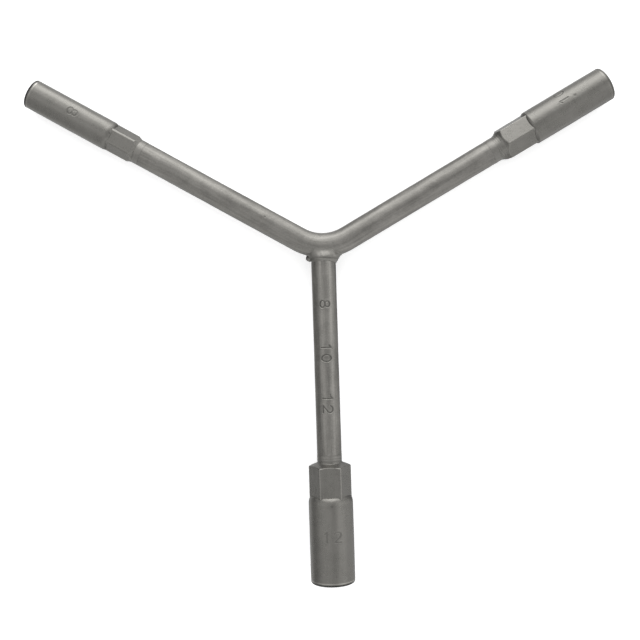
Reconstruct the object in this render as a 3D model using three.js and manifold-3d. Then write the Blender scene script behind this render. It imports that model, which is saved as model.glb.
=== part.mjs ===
// A rigid three-armed socket wrench in the shape of a Y, in millimetres.
// One round bar is bent into the two upper arms and a second bar is the leg. A fillet weld joins
// them at the hub, and a butt weld joins each of the three bar ends to a forged socket.
// The wrench lies flat: the arms spread in the XY plane, the leg points along -Y and +Z is up.
// The axes of the three arms meet at the hub. Each arm is drawn along +Y, away from the hub,
// and then turned about Z to its direction.

import * as THREE from "three";
import { mergeVertices } from "three/addons/utils/BufferGeometryUtils.js";
import Module from "manifold-3d";

const wasm = await Module();
wasm.setup();

// Reach of each arm, from the hub centre to the mouth of its socket
const leftReach = 135;
const rightReach = 133.7;
const legReach = 133.9;

// Bars
const barDiameter = 10;
const bendRadius = 20; // of the centre line
const weldGap = 0.3; // between a weld and the pieces that it joins

// Butt welds, each in a groove between a bar and the stub of its socket
const stubLength = 1.6;
const grooveDepth = 2;
const bevelWidth = 1.2; // of the groove on each side of the joint
const crownHeight = 0.12; // of the weld above the bar

// Fillet weld round the joint of the leg and the bend
const filletFoot = 1.85; // below the underside of the bend, on the leg
const filletRise = 3.35; // above that underside, on the front and back of the bend
const filletThroat = 0.9; // over the leg
const filletLeftReach = 2; // past the side of the leg, along the underside of the left arm
const filletRightReach = 3.2;
const nubDiameter = 2.4; // of the drop on the left of the fillet
const nubDrop = 0.25; // of the drop's middle, below the underside of the bend
const nubOffset = 0.6; // of the drop's middle, past the side of the leg

// Sockets. The direction of the arm is in degrees from +X, and flatTurn is the angle by which the
// neck's upper flat is turned about the arm, away from +Z.
const sockets = {
  left: {
    direction: 149.6,
    flatTurn: -2.1,
    reach: leftReach,
    driveSize: 8,
    driveDepth: 14,
    boreDepth: 26,
    mouthRounding: 0.6,
    barrelDiameter: 12,
    barrelLength: 35.5,
    shoulderLength: 2.2,
    neckAcrossFlats: 10.2,
    neckAcrossCorners: 11.4,
    neckLength: 9.2,
    taperLength: 1.6,
    taperPower: 1, // straight
  },
  right: {
    direction: 29.2,
    flatTurn: 42,
    reach: rightReach,
    driveSize: 10,
    driveDepth: 16,
    boreDepth: 26,
    mouthRounding: 0.7,
    barrelDiameter: 14,
    barrelLength: 35.3,
    shoulderLength: 1.2,
    neckAcrossFlats: 12,
    neckAcrossCorners: 13.8,
    neckLength: 11.8,
    taperLength: 3.5,
    taperPower: 2, // hollow
  },
  leg: {
    direction: -90,
    flatTurn: 0,
    reach: legReach,
    driveSize: 12,
    driveDepth: 16,
    boreDepth: 24,
    mouthRounding: 1,
    barrelDiameter: 18,
    barrelLength: 32.5,
    shoulderLength: 3,
    neckAcrossFlats: 15,
    neckAcrossCorners: 17.1,
    neckLength: 11.9,
    taperLength: 1.5,
    taperPower: 1,
  },
};
const shoulderInset = 0.15; // depth under the neck's flats at which the shoulder starts
const driveClearance = 0.15; // of a drive hexagon over its nominal size
const boreAllowance = 0.1; // from the round bore to the flats of the hexagon
const leadIn = 0.45; // chamfer at the mouth, beyond the flats of the hexagon
const drillPointAngle = 118; // degrees
const cutOverrun = 1; // by which a cutting body passes the faces that it cuts

// Facets
const hexSides = 6;
const barSides = 30;
const socketSides = 36;
const bendSteps = 10;
const filletSteps = 6;
const curveSteps = 3; // along a rounded edge, a shoulder or a taper

// Blasted steel, a little brighter where it is weld metal
const barSteel = { color: 0x76746d, roughness: 0.5, metalness: 0.85 };
const socketSteel = { color: 0x7b7972, roughness: 0.48, metalness: 0.85 };
const weldSteel = { color: 0x85837c, roughness: 0.42, metalness: 0.85 };

const barRadius = barDiameter / 2;
const rightAngle = Math.PI / 2;
const hubCentre = new THREE.Vector2();

// Closed geometry and solids

function closed(geometry) {
  const bare = geometry.clone();
  bare.deleteAttribute("normal");
  bare.deleteAttribute("uv");
  const merged = mergeVertices(bare);
  const corners = merged.index.array;
  const kept = [];
  for (let i = 0; i < corners.length; i += 3) {
    const [a, b, c] = corners.slice(i, i + 3);
    if (a !== b && b !== c && c !== a) kept.push(a, b, c);
  }
  merged.setIndex(kept);
  return merged;
}

function toSolid(geometry) {
  const { attributes, index } = closed(geometry);
  return new wasm.Manifold(new wasm.Mesh({
    numProp: 3,
    vertProperties: attributes.position.array,
    triVerts: new Uint32Array(index.array),
  }));
}

function toGeometry(solid) {
  const { vertProperties, triVerts } = solid.getMesh();
  const geometry = new THREE.BufferGeometry();
  geometry.setAttribute("position", new THREE.BufferAttribute(vertProperties, 3));
  geometry.setIndex(new THREE.BufferAttribute(triVerts, 1));
  geometry.computeVertexNormals();
  return geometry;
}

// An outline is a list of [radius, distance along the arm], from the hub outward
function turned(outline, sides) {
  const points = outline.map(([radius, along]) => new THREE.Vector2(radius, along));
  return new THREE.LatheGeometry(points, sides);
}

function curve([fromRadius, fromAlong], [toRadius, toAlong], shape) {
  const points = [];
  for (let step = 0; step <= curveSteps; step += 1) {
    const [radiusShare, alongShare] = shape(step / curveSteps);
    const radius = fromRadius + (toRadius - fromRadius) * radiusShare;
    const along = fromAlong + (toAlong - fromAlong) * alongShare;
    points.push([radius, along]);
  }
  return points;
}

// Quarter rounds: one starts square to the arm and ends along it, the other the other way about
const endsAlong = (share) => [Math.sin(share * rightAngle), 1 - Math.cos(share * rightAngle)];
const endsSquare = (share) => [1 - Math.cos(share * rightAngle), Math.sin(share * rightAngle)];

// A hexagonal prism round the arm, with a flat facing +Z
function hexagon(acrossFlats, from, to) {
  const cornerRadius = acrossFlats / 2 / Math.cos(Math.PI / hexSides);
  const outline = [[0, from], [cornerRadius, from], [cornerRadius, to], [0, to]];
  return toSolid(turned(outline, hexSides).rotateY(Math.PI / hexSides));
}

// Arms

function armTurn(socket) {
  return THREE.MathUtils.degToRad(socket.direction) - rightAngle;
}

// Where the stretches of an arm begin, counted from the hub centre
function stations(socket) {
  const mouth = socket.reach;
  const barrel = mouth - socket.barrelLength;
  const shoulder = barrel - socket.shoulderLength;
  const neck = shoulder - socket.neckLength;
  const taper = neck - socket.taperLength;
  const stub = taper - stubLength;
  const barEnd = stub - weldGap;
  return { mouth, barrel, shoulder, neck, taper, stub, barEnd };
}

// Sockets

// The weld stub, the taper and the hexagonal neck, which runs on into the barrel
function neckBody(socket) {
  const at = stations(socket);
  const cornerRadius = socket.neckAcrossCorners / 2;
  const taperShape = (share) => [share ** socket.taperPower, share];
  const outline = [
    [0, at.stub],
    [barRadius - grooveDepth, at.stub],
    [barRadius, at.stub + bevelWidth],
    ...curve([barRadius, at.taper], [cornerRadius, at.neck], taperShape),
    [cornerRadius, at.barrel],
    [0, at.barrel],
  ];
  const round = toSolid(turned(outline, socketSides));
  return round.intersect(hexagon(socket.neckAcrossFlats, 0, at.mouth));
}

function barrelBody(socket) {
  const at = stations(socket);
  const radius = socket.barrelDiameter / 2;
  const rounding = socket.mouthRounding;
  const footRadius = socket.neckAcrossFlats / 2 - shoulderInset;
  const outline = [
    [0, at.shoulder],
    ...curve([footRadius, at.shoulder], [radius, at.barrel], endsAlong),
    ...curve([radius, at.mouth - rounding], [radius - rounding, at.mouth], endsSquare),
    [0, at.mouth],
  ];
  return toSolid(turned(outline, socketSides));
}

// The drive hexagon with its lead-in, and the deeper round bore, which ends in a drill point
function driveHole(socket) {
  const mouth = stations(socket).mouth;
  const acrossFlats = socket.driveSize + driveClearance;
  const leadInRadius = acrossFlats / 2 + leadIn;
  const boreRadius = acrossFlats / 2 - boreAllowance;
  const boreEnd = mouth - socket.boreDepth;
  const pointLength = boreRadius / Math.tan(THREE.MathUtils.degToRad(drillPointAngle / 2));
  const outline = [
    [0, boreEnd - pointLength],
    [boreRadius, boreEnd],
    [boreRadius, mouth - leadIn - boreAllowance],
    [leadInRadius, mouth],
    [leadInRadius, mouth + cutOverrun],
    [0, mouth + cutOverrun],
  ];
  const bore = toSolid(turned(outline, socketSides));
  return bore.add(hexagon(acrossFlats, mouth - socket.driveDepth, mouth + cutOverrun));
}

function socketGeometry(socket) {
  const body = neckBody(socket).add(barrelBody(socket)).subtract(driveHole(socket));
  return toGeometry(body).rotateY(THREE.MathUtils.degToRad(socket.flatTurn));
}

// The weld fills its groove to weldGap from both bevels, and stands crownHeight above the bar
function weldRingGeometry(socket) {
  const { stub, barEnd } = stations(socket);
  const middle = (stub + barEnd) / 2;
  const bevelSlope = bevelWidth / grooveDepth;
  const gapAlong = weldGap * Math.hypot(1, bevelSlope);
  const halfWidth = (stub - barEnd) / 2 + bevelWidth - gapAlong;
  const rootRadius = barRadius - halfWidth / bevelSlope;
  const outline = [
    [rootRadius, middle],
    [barRadius, middle - halfWidth],
    [barRadius + crownHeight, middle],
    [barRadius, middle + halfWidth],
    [rootRadius, middle],
  ];
  return toGeometry(toSolid(turned(outline, barSides)));
}

// The bent bar: straight, round the bend at the hub, straight

const leftWay = new THREE.Vector2(0, 1).rotateAround(hubCentre, armTurn(sockets.left));
const rightWay = new THREE.Vector2(0, 1).rotateAround(hubCentre, armTurn(sockets.right));
const bendTurn = Math.PI - leftWay.angleTo(rightWay);
const tangentLength = bendRadius * Math.tan(bendTurn / 2);
const bendSag = bendRadius / Math.cos(bendTurn / 2) - bendRadius; // from the hub centre to the bar
const undersideY = bendSag - barRadius; // of the bend, above the leg
const leftStraight = stations(sockets.left).barEnd - tangentLength;
const bendLength = bendRadius * bendTurn;
const rightStraight = stations(sockets.right).barEnd - tangentLength;
const armBarLength = leftStraight + bendLength + rightStraight;

// The point of the centre line at a distance from the bar's left end, and the heading there
function alongArmBar(distance) {
  const bent = THREE.MathUtils.clamp(distance - leftStraight, 0, bendLength);
  const turn = bent / bendRadius;
  const bendStart = leftWay.clone().multiplyScalar(tangentLength);
  const towardCentre = leftWay.clone().rotateAround(hubCentre, -rightAngle);
  const centre = bendStart.clone().addScaledVector(towardCentre, bendRadius);
  const point = bendStart.clone().rotateAround(centre, turn);
  const heading = leftWay.clone().negate().rotateAround(hubCentre, turn);
  const straight = distance - leftStraight - bent;
  return { point: point.addScaledVector(heading, straight), heading };
}

// Bends a straight bar, drawn along +Y, to the centre line
function bendToArms(geometry) {
  const position = geometry.attributes.position;
  for (let i = 0; i < position.count; i += 1) {
    const { point, heading } = alongArmBar(position.getY(i));
    const side = position.getX(i);
    position.setXY(i, point.x + heading.y * side, point.y - heading.x * side);
  }
  return geometry;
}

function bendStations(radius) {
  const points = [];
  for (let step = 0; step <= bendSteps; step += 1) {
    points.push([radius, leftStraight + bendLength * (step / bendSteps)]);
  }
  return points;
}

function armBarGeometry() {
  const outline = [
    [0, 0],
    [barRadius - grooveDepth, 0],
    [barRadius, bevelWidth],
    ...bendStations(barRadius),
    [barRadius, armBarLength - bevelWidth],
    [barRadius - grooveDepth, armBarLength],
    [0, armBarLength],
  ];
  return toGeometry(toSolid(bendToArms(turned(outline, barSides))));
}

// The space that the bent bar keeps free round itself
function armBarSpace() {
  const radius = barRadius + weldGap;
  const outline = [[0, 0], [radius, 0], ...bendStations(radius), [radius, armBarLength], [0, armBarLength]];
  return toSolid(bendToArms(turned(outline, barSides)));
}

// The leg's bar is coped to the underside of the bend
function legBarGeometry() {
  const { barEnd } = stations(sockets.leg);
  const outline = [
    [0, 0],
    [barRadius, 0],
    [barRadius, barEnd - bevelWidth],
    [barRadius - grooveDepth, barEnd],
    [0, barEnd],
  ];
  const bar = toSolid(turned(outline, barSides).rotateZ(armTurn(sockets.leg)));
  return toGeometry(bar.subtract(armBarSpace()));
}

// The fillet is a bead round the leg that widens sideways from its foot up to the hub centre
function hubWeldGeometry() {
  const foot = undersideY - filletFoot;
  const top = undersideY + filletRise;
  const middle = (top + foot) / 2;
  const halfHeight = (top - foot) / 2;
  const outline = [[0, foot]];
  for (let step = 0; step <= filletSteps; step += 1) {
    const angle = Math.PI * (step / filletSteps);
    outline.push([
      barRadius + filletThroat * Math.sin(angle),
      middle - halfHeight * Math.cos(angle),
    ]);
  }
  outline.push([0, top]);

  const bead = turned(outline, barSides);
  const position = bead.attributes.position;
  for (let i = 0; i < position.count; i += 1) {
    const climb = THREE.MathUtils.clamp(1 - position.getY(i) / foot, 0, 1);
    const reach = position.getX(i) < 0 ? filletLeftReach : filletRightReach;
    const fullStretch = (barRadius + reach) / (barRadius + filletThroat);
    position.setX(i, position.getX(i) * THREE.MathUtils.lerp(1, fullStretch, climb ** 2));
  }

  const nub = new THREE.SphereGeometry(nubDiameter / 2, barSides / 2, filletSteps);
  nub.translate(-barRadius - nubOffset, undersideY - nubDrop, 0);

  const legRadius = barRadius + weldGap;
  const legOutline = [
    [0, foot - cutOverrun],
    [legRadius, foot - cutOverrun],
    [legRadius, top + cutOverrun],
    [0, top + cutOverrun],
  ];
  const legSpace = toSolid(turned(legOutline, barSides));
  const weld = toSolid(bead).add(toSolid(nub)).subtract(legSpace).subtract(armBarSpace());
  return toGeometry(weld);
}

// Assembly

function piece(name, geometry, finish) {
  const mesh = new THREE.Mesh(geometry, new THREE.MeshStandardMaterial(finish));
  mesh.name = name;
  return mesh;
}

const wrench = new THREE.Group();
wrench.add(
  piece("arm_bar", armBarGeometry(), barSteel),
  piece("leg_bar", legBarGeometry(), barSteel),
  piece("hub_weld", hubWeldGeometry(), weldSteel),
);
for (const [side, socket] of Object.entries(sockets)) {
  const arm = new THREE.Group();
  arm.rotation.z = armTurn(socket);
  arm.add(
    piece(`${side}_socket`, socketGeometry(socket), socketSteel),
    piece(`${side}_weld_ring`, weldRingGeometry(socket), weldSteel),
  );
  wrench.add(arm);
}

// The origin is the middle of the underside of the wrench's box
const box = new THREE.Box3().setFromObject(wrench, true);
const middleOfBox = box.getCenter(new THREE.Vector3());
wrench.position.set(-middleOfBox.x, -middleOfBox.y, -box.min.z);

export default wrench;
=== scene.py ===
# The looks of a rigid three-armed socket wrench in the shape of a Y, made of blasted steel.
# Sizes are in millimetres and angles in degrees. The wrench lies flat, its leg points along -Y
# and +Z is up. A piece is drawn in the axes of its arm, which start at the hub centre: x is to the
# side, y runs along the arm and z is up. An angle round the arm starts at +Z and turns towards x.
# Every point of the steel has a wear, which makes it paler and smoother and in places is a painted
# highlight, and a grime, which makes it darker and duller and in places is painted shade and shadow.
# Both are zero where there is none.
import math

import bpy
import numpy as np
from mathutils import Matrix, Vector


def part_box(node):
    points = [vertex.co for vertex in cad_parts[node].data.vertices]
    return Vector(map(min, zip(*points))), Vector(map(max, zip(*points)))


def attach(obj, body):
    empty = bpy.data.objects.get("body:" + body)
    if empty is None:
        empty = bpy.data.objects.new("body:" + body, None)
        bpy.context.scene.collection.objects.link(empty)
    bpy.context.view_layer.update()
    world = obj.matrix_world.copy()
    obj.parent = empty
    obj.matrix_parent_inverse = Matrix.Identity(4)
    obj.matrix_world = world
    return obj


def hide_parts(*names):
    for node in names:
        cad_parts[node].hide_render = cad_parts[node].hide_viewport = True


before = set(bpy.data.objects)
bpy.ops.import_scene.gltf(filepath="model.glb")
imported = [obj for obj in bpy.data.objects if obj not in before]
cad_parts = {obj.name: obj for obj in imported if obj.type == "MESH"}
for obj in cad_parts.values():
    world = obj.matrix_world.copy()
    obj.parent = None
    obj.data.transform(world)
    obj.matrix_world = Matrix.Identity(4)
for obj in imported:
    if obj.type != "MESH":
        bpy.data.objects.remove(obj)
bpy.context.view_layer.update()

MM = 0.001  # metres

SIXTH_TURN = 60
QUARTER_TURN = 90
HALF_TURN = 180
FULL_TURN = 360

# Bars
BAR_DIAMETER = 10
BAR_RADIUS = BAR_DIAMETER / 2
BEND_RADIUS = 20  # of the centre line
BEND_POLISH_AND_HIGHLIGHT = 0.6  # polish in the crook of the bend, where a finger rests, partly a painted highlight
BEND_POLISH_AND_HIGHLIGHT_REACH = 14  # along the bar, both ways from the middle of the bend
BEND_POLISH_AND_HIGHLIGHT_SHARES = (0.2, 0.9)  # of the radius into the crook, where it starts and where it is full

# A lengthwise streak is given by its turn round the arm, its half turn and its wear, which is below zero
# where the streak is grime. The leg's streaks are partly real streaks and partly painted highlights and
# painted shade on its flanks.
LEG_STREAKS_HIGHLIGHTS_AND_SHADE = {-52: (10, -0.36), -28: (9, 0.9), 19: (9, 0.9), 46: (20, -0.66)}
LEG_STREAK_AND_SHADE_END = 150  # where the leg's streaks, with their painted highlights and shade, would fade out, from the hub centre

# Low waves that forging leaves in bars and barrels
WAVE_HEIGHT = 0.03
SLOW_WAVE = 5.1  # lengths along the arm, for each radian of a wave
SLOW_SWELL = 13
QUICK_WAVE = 2.3
QUICK_SWELL = 19
SLOW_TWIST = 2  # how far the waves lean round the arm
QUICK_TWIST = 1.7
QUICK_LAG = 0.6
SLOW_SHARE = 0.6
BARREL_WAVE_RUN = 4  # from the start of a barrel to where its waves and streaks are full
LEG_WAVE_RUN = 6  # the same for the leg, from where its rows are square to it
LEG_WAVE_SHIFT = 40  # along the leg, so that its waves differ from those of the arms

# Butt welds, each in a groove between a bar and the stub of its socket
STUB_GAP = 0.3  # between the bar and the stub, at the root of the groove
GROOVE_DEPTH = 2
BEVEL_WIDTH = 1.2
BEVEL_MARGIN = 0.1  # from a bevel to the first row of the bar's side
CROWN_HEIGHT = 0.02
BEAD_CLEARANCE = 0.02  # of the bead's root from the bottom of the groove and from its sides
GROOVE_GRIME = 0.8
STUB_GRIME = 1
BEVEL_GRIME = 0.6
DRESSING_DEPTH = 0.045  # of the lines that grinding cut round a weld
DRESSING_WIDTH = 0.18
DRESSING_GRIME = 0.3

# Sockets
SOCKETS = {
    "left": {
        "direction": 149.6,
        "flat_turn": -2.1,
        "reach": 135,
        "drive_size": 8,
        "drive_depth": 14,
        "bore_depth": 26,
        "mouth_rounding": 0.6,
        "mouth_wear_and_highlight": 1,
        "mouth_shade": 1.1,
        "barrel_diameter": 12,
        "barrel_length": 35.5,
        # a painted shade and a painted highlight on the barrel
        "barrel_highlight_and_shade": {18: (8, -0.25), 43: (8, 0.7)},
        "shoulder_length": 2.2,
        "shoulder_power": 2,
        "crease_shade": 0.4,
        "neck_across_flats": 10.2,
        "neck_across_corners": 11.4,
        "neck_length": 9.2,
        "taper_length": 2,
        "taper_powers": (1.4, 1.4, 1.4),
        "taper_skew": -0.4,
        "dressing_lines": [],
        "stamp_turn": 10,
        "pit_turn": 6,
        "pit_along": 98,
    },
    "right": {
        "direction": 29.2,
        "flat_turn": 42,
        "reach": 133.7,
        "drive_size": 10,
        "drive_depth": 16,
        "bore_depth": 26,
        "mouth_rounding": 0.7,
        "mouth_wear_and_highlight": 0.9,
        "mouth_shade": 0.7,
        "barrel_diameter": 14,
        "barrel_length": 35.3,
        "barrel_highlight_and_shade": {},
        "shoulder_length": 1.2,
        "shoulder_power": 1.4,
        "crease_shade": 0.9,
        "neck_across_flats": 12,
        "neck_across_corners": 13.8,
        "neck_length": 11.8,
        "taper_length": 3.7,
        "taper_powers": (2.6, 3, 1.2),
        "taper_skew": 0.6,
        "dressing_lines": [82.2, 83, 83.8, 84.6],
        "stamp_turn": -38,
        "pit_turn": -15,
        "pit_along": 118.4,
    },
    "leg": {
        "direction": -90,
        "flat_turn": 0,
        "reach": 133.9,
        "drive_size": 12,
        "drive_depth": 16,
        "bore_depth": 24,
        "mouth_rounding": 1,
        "mouth_wear_and_highlight": 1.3,
        "mouth_shade": 1.15,
        "barrel_diameter": 18,
        "barrel_length": 32.5,
        "barrel_highlight_and_shade": {},
        "shoulder_length": 3,
        "shoulder_power": 2,
        "crease_shade": 0.5,
        "neck_across_flats": 15,
        "neck_across_corners": 17.1,
        "neck_length": 11.9,
        "taper_length": 1.5,
        "taper_powers": (1.2, 1.2, 1.2),
        "taper_skew": 0.35,
        "dressing_lines": [82.3, 83.4, 84.4],
        "stamp_turn": 0,
        "pit_turn": -3,
        "pit_along": 101.7,
    },
}
# The mouth's wear is that of a bare line round the barrel, partly a painted highlight, and its grime
# that of the painted shade along the edge next to the face. A taper's powers, at its -X side, front and
# +X side, are 1 where it is straight and higher where it is hollow. Its skew is how much nearer to the
# mouth it lies at the front. A shoulder's power is 2 where it is round and 1 where it is straight.
# Dressing lines and pits are counted from the hub centre, like the reach.
SHOULDER_INSET = 0.15
SHOULDER_FALL = 4  # slope by which the shoulder's surface drops out of sight under the neck
DRIVE_CLEARANCE = 0.15
BORE_ALLOWANCE = 0.1
LEAD_IN = 0.45
DRILL_POINT_ANGLE = 118
DRILL_POINT_SHARES = (0.25, 0.5, 0.75, 0.97)  # of its length, where its rows lie
EDGE_ROUNDING = 0.08  # of the neck's long edges
RIM_ROUNDING = 0.14  # of the edge between the neck and its taper
CREASE_BLEND = 0.06  # where the neck runs into the barrel
CREASE_ROOM = 0.48  # past the shoulder's start, where the rows are closest
CREASE_END_SHARE = 0.9  # of the shoulder, up to which its crease gets painted shade
LEAD_IN_BLEND = 0.04  # where the lead-in meets the flats of the drive
STEP_ROUNDING = 0.05  # of the step between the drive and its bore
FACE_MARGIN = 0.06  # from the mouth's flat face to the lead-in
FACE_SHARES = (0.3, 0.65, 1)  # of the way across that face, where its rows lie
FACE_WEAR = 0.3
MOUTH_WEAR_AND_HIGHLIGHT_DEPTH = 1.4  # of the bare line, partly a painted highlight, from the mouth's face
MOUTH_WEAR_AND_HIGHLIGHT_WIDTH = 0.25
MOUTH_SHADE_DEPTH = 1  # of the line of painted shade between that and the face
MOUTH_SHADE_FADE = 0.2
DRIVE_DARKENING = 0.3
DRIVE_DARKENING_DEPTH = 8  # from which the darkening is full
BORE_DARKENING = 0.8
DRILL_POINT_DARKENING = 0.9

# A pit in the skin of each barrel
PIT_DIAMETER = 1.1
PIT_DEPTH = 0.12
PIT_GRIME = 0.8

# Stamped numbers: plain sizes, one on each barrel and all three on the leg
DIGIT_HEIGHT = 4.1
DIGIT_WIDTH = 2.8
DIGIT_PITCH = 4.5
STROKE_WIDTH = 0.6
STROKE_DEPTH = 0.18
STROKE_GRIME = 0.8
STROKE_WALL_SHARES = (0.25, 0.62)  # of its width, from its middle to the foot and top of its wall
LIP_HEIGHT = 0.06  # of the metal pushed up beside a stroke
LIP_SHARE = 0.85  # of the stroke's width, from its middle to the lip
LIP_WIDTH_SHARE = 0.3
BARREL_STAMP_FROM_MOUTH = 20
BARREL_STAMP_SHARE = 0.6  # of the relief, which blasting has softened
LEG_STAMPS = {"8": 21, "10": 40.5, "12": 61}  # middle of each number, from the hub centre

# Top of the leg, under the fillet weld
COPE_LEVEL = 1.7  # least depth of its end below the hub centre
SQUARE_FROM = 8  # below the hub centre, where the rows of the mesh are square to the leg

# Fillet weld at the hub. Its crest is the full part at the front, which leans to the right.
FILLET_FOOT = 3.7  # below the hub centre, on the leg
FOOT_CORNER_DROP = 0.7  # of the foot, below that, in the corner of the right arm
FOOT_WAVES = ((3, 1, 0.12), (7, 0, 0.08))  # count round the leg, lag and height
TOE_GAP = 0.8  # from the leg to the weld's edge on the bent bar
TOE_RIGHT_REACH = 3.4  # more than that, along the underside of the right arm
TOE_LEFT_REACH = 1.2
TOE_REACH_POWER = 5  # how closely that keeps to the sides
TOE_CLIMB = 72  # of that edge round the bent bar from its underside, at the front
KNEE_LEVEL = 0.9  # least depth of the weld's knee below the hub centre
LOWER_HANDLE_SHARE = 0.6  # of the way from the foot to the knee
UPPER_HANDLE_SHARE = 0.3  # of the way from the knee to the toe
CREST_TURN = 24  # of the crest's middle, round the leg from the front
CREST_COSINES = (0.2, 0.85)  # of the turn from there, at its edge and where it is full
CREST_RISE = 1.6  # of the lower handle over the leg, at the crest
CREST_DISH = 0.55  # of the upper handle under the leg's surface there
CREST_WEAR = 0.4
CREST_WEAR_SHARES = (0.3, 0.6)  # of the way from foot to toe, where it starts and where it is full
SIDE_RISE = 0.7  # of both handles at the left
CORNER_LOWER_RISE = 0.9  # of the handles in the corner of the right arm
CORNER_UPPER_RISE = 0.6
CORNER_POWER = 3  # how closely the corner keeps to the right side
CHEEK_RISE = 1.4  # more, on the right of the crest
CHEEK_TURN = 54
CHEEK_HALF_TURN = 24
UNDERCUT_LEVEL = 2.35  # of the line between the two passes, below the hub centre
UNDERCUT_TURN = 20  # of its middle, round the leg from the front
UNDERCUT_HALF_TURN = 48
UNDERCUT_WIDTH = 0.26
UNDERCUT_DEPTH = 0.25
UNDERCUT_SLANT = 0.05  # it drops by this share of its length towards the right
# painted shade in the line between the two passes
UNDERCUT_SHADE = 0.8
LOWER_PASS_DROP = 0.2  # of the lower pass under the upper one
RIPPLE_HEIGHT = 0.03
RIPPLE_TURN = 4.2  # round the leg, for each radian of a ripple
RIPPLE_SLANT = 8  # radians by which a ripple leans between foot and toe
TOE_SHADE = 0.8  # of painted shade along a stretch of the toe
TOE_SHADE_TURN = 35
TOE_SHADE_HALF_TURN = 25
TOE_SHADE_SHARE = 0.03  # of the way from foot to toe
SIDE_SHADOW_TURN = -75  # of a painted shadow on the left, near the foot
SIDE_SHADOW_HALF_TURN = 22
SIDE_SHADOW_SHARE = 0.2  # of the way from foot to toe, where its middle lies
SIDE_SHADOW_HALF_SHARE = 0.15
ROOT_DEPTH = 0.5  # of the weld's hidden side, inside the leg and the bent bar
ROOT_FOOT_RISE = 0.3
ROOT_TOE_SHARES = (0.93, 1, 0.9)  # of the toe's place
NUB_DIAMETER = 3
NUB_LEVEL = 2  # below the hub centre
NUB_OFFSET = 0.6  # past the side of the leg
NUB_UNEVENNESS = 0.06
# painted shadow of the arm on the nub's upper side
NUB_SHADOW = 0.95
NUB_SHADOW_SHARES = (-0.6, 0.2)  # of its radius along the leg, where the painted shadow starts and where it is full

# Spacing of the mesh: the longest steps between its rows and between its turns
SEAM = 0.03  # between the rows on both sides of a sharp edge
CAP_RADIUS = 0.4  # of the small fan that closes an end
FINE_STEP = 0.16
SIDE_STEP = 0.35
LONG_STEP = 0.8
TURN_STEP = 2.5
FINE_TURN_STEP = 1.2
HUB_TURN_STEP = 1.5
NUB_TURN_STEP = 10
NUB_LAST_TILT = 86  # of its outer rows
TINY = 1e-9  # keeps a rounding error from adding a row

# Counts of rows and points
ARC_POINTS = 17
ROUNDING_ROWS = 13
STUB_FACE_ROWS = 4
BAR_FACE_ROWS = 3
BEVEL_ROWS = 4
LEG_TOP_ROWS = 6
LEG_START_ROWS = 20
CROWN_ROWS = 37
HUB_ROWS = 61
NUB_ROWS = 25


# Axes

leg_low, leg_high = (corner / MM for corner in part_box("leg_socket"))
HUB = Vector((
    (leg_low.x + leg_high.x) / 2,
    leg_low.y + SOCKETS["leg"]["reach"],
    (leg_low.z + leg_high.z) / 2,
))


def way(direction):
    angle = math.radians(direction)
    return np.array([math.cos(angle), math.sin(angle)])


def placed(points, direction):
    """Points drawn in the axes of an arm, as points of the frame."""
    along = way(direction)
    side = way(direction - QUARTER_TURN)
    moved = np.empty_like(points)
    moved[..., :2] = points[..., :1] * side + points[..., 1:2] * along
    moved[..., 2] = points[..., 2]
    return moved + np.array(HUB)


def round_the_arm(radius, angle, along):
    turn = np.radians(angle)
    return np.stack(np.broadcast_arrays(radius * np.sin(turn), along, radius * np.cos(turn)), -1)


# Shapes

def smooth_min(first, second, width):
    share = np.clip(0.5 + (second - first) / (2 * width), 0, 1)
    return second + (first - second) * share - width * share * (1 - share)


def smooth_max(first, second, width):
    return -smooth_min(-first, -second, width)


def between(start, end, share):
    return start + (end - start) * share


def bell(distance, width):
    return np.exp(-((distance / width) ** 2))


def rising(value, start, end):
    share = np.clip((value - start) / (end - start), 0, 1)
    return share * share * (3 - 2 * share)


def spaced(start, *runs):
    """One row of places from a start on, through runs of (end, longest step)."""
    places = []
    for end, step in runs:
        count = math.ceil((end - start) / step - TINY)
        places.append(np.linspace(start, end, count, endpoint=False))
        start = end
    return np.concatenate([*places, [start]])


def hexagon_radius(angle, across_flats):
    from_flat = (angle + SIXTH_TURN / 2) % SIXTH_TURN - SIXTH_TURN / 2
    return across_flats / 2 / np.cos(np.radians(from_flat))


def waves(angle, along):
    """Low, uneven waves from -1 to 1, such as forging leaves."""
    turn = np.radians(angle)
    slow = np.sin(along / SLOW_WAVE + SLOW_TWIST * np.sin(turn)) * np.sin(along / SLOW_SWELL + turn)
    quick = np.sin(along / QUICK_WAVE + QUICK_TWIST * np.cos(turn) + QUICK_LAG)
    quick = quick * np.sin(2 * turn + along / QUICK_SWELL)
    return SLOW_SHARE * slow + (1 - SLOW_SHARE) * quick


# Numbers. A digit's strokes are in shares of its width and height, from its middle.

def arc(middle, width, height, start, end):
    turns = np.radians(np.linspace(start, end, ARC_POINTS))
    return [(middle[0] + width / 2 * math.cos(t), middle[1] + height / 2 * math.sin(t)) for t in turns]


DIGIT_SHARES = {
    "0": [arc((0, 0), 1, 1, 0, FULL_TURN)],
    "1": [[(-0.28, 0.3), (0.08, 0.5), (0.08, -0.5)]],
    "2": [[*arc((0, 0.2), 1, 0.6, 165, -50), (-0.5, -0.5), (0.5, -0.5)]],
    "8": [arc((0, 0.25), 0.84, 0.5, 0, FULL_TURN), arc((0, -0.25), 1, 0.5, 0, FULL_TURN)],
}


def distance_to_stroke(across, up, stroke):
    nearest = np.inf
    for (x0, y0), (x1, y1) in zip(stroke, stroke[1:]):
        start_x, start_y = x0 * DIGIT_WIDTH, y0 * DIGIT_HEIGHT
        run_x, run_y = (x1 - x0) * DIGIT_WIDTH, (y1 - y0) * DIGIT_HEIGHT
        share = ((across - start_x) * run_x + (up - start_y) * run_y) / (run_x ** 2 + run_y ** 2)
        share = np.clip(share, 0, 1)
        gap = np.hypot(across - start_x - share * run_x, up - start_y - share * run_y)
        nearest = np.minimum(nearest, gap)
    return nearest


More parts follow.
